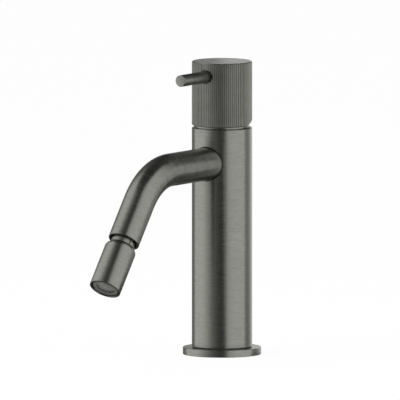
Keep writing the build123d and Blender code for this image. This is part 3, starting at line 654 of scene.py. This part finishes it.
bend_run = BEND_RADIUS * math.tan(FALL_ANGLE / 2)
bend_start = SPOUT_CORNER - bend_run
bend_end = bend_start + BEND_RADIUS * FALL_ANGLE
mouth_distance = bend_end + FALL_LENGTH - bend_run
bore = MOUTH_RADIUS - MOUTH_WALL

spout_maker = turn_outline([
    (SPOUT_RADIUS, SPOUT_ROOT, 0), (SPOUT_RADIUS, bend_start, 0), (MOUTH_RADIUS, bend_end, 0),
    (MOUTH_RADIUS, mouth_distance, RIM_ROUNDING), (bore, mouth_distance, EDGE_ROUNDING),
    (bore, bend_end, 0), (bore, bend_start, 0), (bore, SPOUT_ROOT, 0),
], cuts=BEND_CUTS)
note_lay(spout_maker)
aim(spout_maker, Vector((0, 0, SPOUT_HEIGHT)), Vector((0, -1, 0)))
bend_centre = Vector((0, -bend_start, SPOUT_HEIGHT - BEND_RADIUS))
for vert in spout_maker.verts:
    past = -vert.co.y - bend_start
    if past > 0:
        swing = min(past / BEND_RADIUS, FALL_ANGLE)
        vert.co.y = -bend_start - max(0, past - BEND_RADIUS * FALL_ANGLE)
        vert.co = bend_centre + Matrix.Rotation(swing, 3, "X") @ (vert.co - bend_centre)
finish_piece(spout_maker, "bent_spout", "mixer_body", "brushed_gunmetal", tube_metal, "spout_tube")
fall = Vector((0, -math.cos(FALL_ANGLE), -math.sin(FALL_ANGLE)))
mouth = Vector((0, -SPOUT_CORNER, SPOUT_HEIGHT)) + fall * FALL_LENGTH
print("mouth in mm:", [round(value * 1000, 1) for value in mouth])

# %% [markdown]
# The nozzle's casing is a sleeve with a rounded shoulder. It is turned like the spout and then
# aimed down the spout's fall, with the lathe's origin at the spout's mouth.

# %% Nozzle casing
CASING_RADIUS = 0.01065
CASING_BORE = 0.00935
CASING_START = 0.0037
CASING_END = 0.0374
CASING_STEP = 0.0075
SHOULDER_END = 0.0062
SHOULDER_ROUNDING = 0.0012
LIP_RADIUS = 0.00875
NECK_HOLE = 0.00825

casing_maker = turn_outline([
    (NECK_HOLE, CASING_START, 0), (LIP_RADIUS, CASING_START, EDGE_ROUNDING),
    (CASING_RADIUS, SHOULDER_END, SHOULDER_ROUNDING), (CASING_RADIUS, CASING_END, RIM_ROUNDING),
    (CASING_BORE, CASING_END, EDGE_ROUNDING), (CASING_BORE, CASING_STEP, 0),
    (NECK_HOLE, CASING_STEP, 0),
])
note_lay(casing_maker)
aim(casing_maker, mouth, fall)
finish_piece(casing_maker, "casing_sleeve", "nozzle", "brushed_gunmetal", tube_metal,
             "nozzle_casing")

# %% [markdown]
# The lever is a straight pin that was faced on the lathe, so its end shows fine rings. Its thread
# is a plain thinner shank inside the handle.

# %% Lever pin
LEVER_HEIGHT = 0.1861
LEVER_RADIUS = 0.0039
LEVER_SEAT = 0.0175
LEVER_REACH = 0.0507
SHANK_RADIUS = 0.003
SHANK_START = 0.0127

lever_maker = turn_outline([
    (0, SHANK_START, 0), (SHANK_RADIUS, SHANK_START, 0), (SHANK_RADIUS, LEVER_SEAT, 0),
    (LEVER_RADIUS, LEVER_SEAT, EDGE_ROUNDING), (LEVER_RADIUS, LEVER_REACH, RIM_ROUNDING),
    (0, LEVER_REACH, 0),
])
note_lay(lever_maker)
aim(lever_maker, Vector((0, 0, LEVER_HEIGHT)), Vector((0, -1, 0)))
finish_piece(lever_maker, "lever_rod", "handle", "turned_gunmetal", turned_metal, "lever_pin")

# %% [markdown]
# The aerator's screen is a fine moulded net. The solid has a plate with round holes. Here a square
# grid gets a hole in each of its cells by an inset, which leaves thin bars between the holes, and a
# round edge joins the bars. The size of the holes is given.

# %% Aerator net
NET_RADIUS = 0.0073
NET_PITCH = 0.0011
NET_BAR = 0.00016
NET_START = 0.0348
NET_THICKNESS = 0.0004
FULL_CELL_AREA = 0.9 * NET_PITCH ** 2

net_maker = bmesh.new()
cells = 2 * math.ceil(NET_RADIUS / NET_PITCH)
bmesh.ops.create_grid(net_maker, x_segments=cells, y_segments=cells, size=cells * NET_PITCH / 2)
whole_cells = NET_RADIUS - NET_PITCH / 2
outside = [face for face in net_maker.faces if face.calc_center_median().length > whole_cells]
bmesh.ops.delete(net_maker, geom=outside, context="FACES")
rim_edges = [edge for edge in net_maker.edges if edge.is_boundary]
rim = bmesh.ops.extrude_edge_only(net_maker, edges=rim_edges)
for vert in rim["geom"]:
    if isinstance(vert, bmesh.types.BMVert):
        vert.co *= NET_RADIUS / vert.co.length
cell_faces = [face for face in net_maker.faces if face.calc_area() > FULL_CELL_AREA
              and face.calc_center_median().length < whole_cells]
bmesh.ops.inset_individual(net_maker, faces=cell_faces, thickness=NET_BAR)
bmesh.ops.delete(net_maker, geom=cell_faces, context="FACES")
bmesh.ops.recalc_face_normals(net_maker, faces=net_maker.faces[:])
bmesh.ops.solidify(net_maker, geom=net_maker.faces[:], thickness=NET_THICKNESS)
bmesh.ops.recalc_face_normals(net_maker, faces=net_maker.faces[:])
bmesh.ops.translate(net_maker, vec=(0, 0, NET_START + NET_THICKNESS), verts=net_maker.verts[:])
aim(net_maker, mouth, fall)
finish_piece(net_maker, "aerator_net", "nozzle", "aerator_plastic", net_plastic, "aerator_screen")

# %% [markdown]
# What is left is the construction's own pieces, most of them inside. Each takes the finish of the
# slot that the record gives it, and the ones that show get a finish of their own: the column is
# brushed upright, and the neck is turned about the slanting axis of the nozzle.

# %% Finishes of the construction's pieces
slot_finish = {
    "brushed_gunmetal": column_metal,
    "fluted_gunmetal": fluted_metal,
    "turned_gunmetal": turned_metal,
    "brass": brass,
    "steel": steel,
    "black_rubber": rubber,
    "housing_plastic": housing_plastic,
    "slider_plastic": slider_plastic,
    "ceramic_disc": ceramic,
    "aerator_plastic": aerator_plastic,
}
own_finish = {"swivel_neck": neck_metal, "outer_seat_ring": seat_plastic}
for part in frame["record"]["subparts"]:
    node = frame["nodes"][part["node"]]
    node.data.materials.clear()
    node.data.materials.append(own_finish.get(part["node"], slot_finish[part["material_slot"]]))
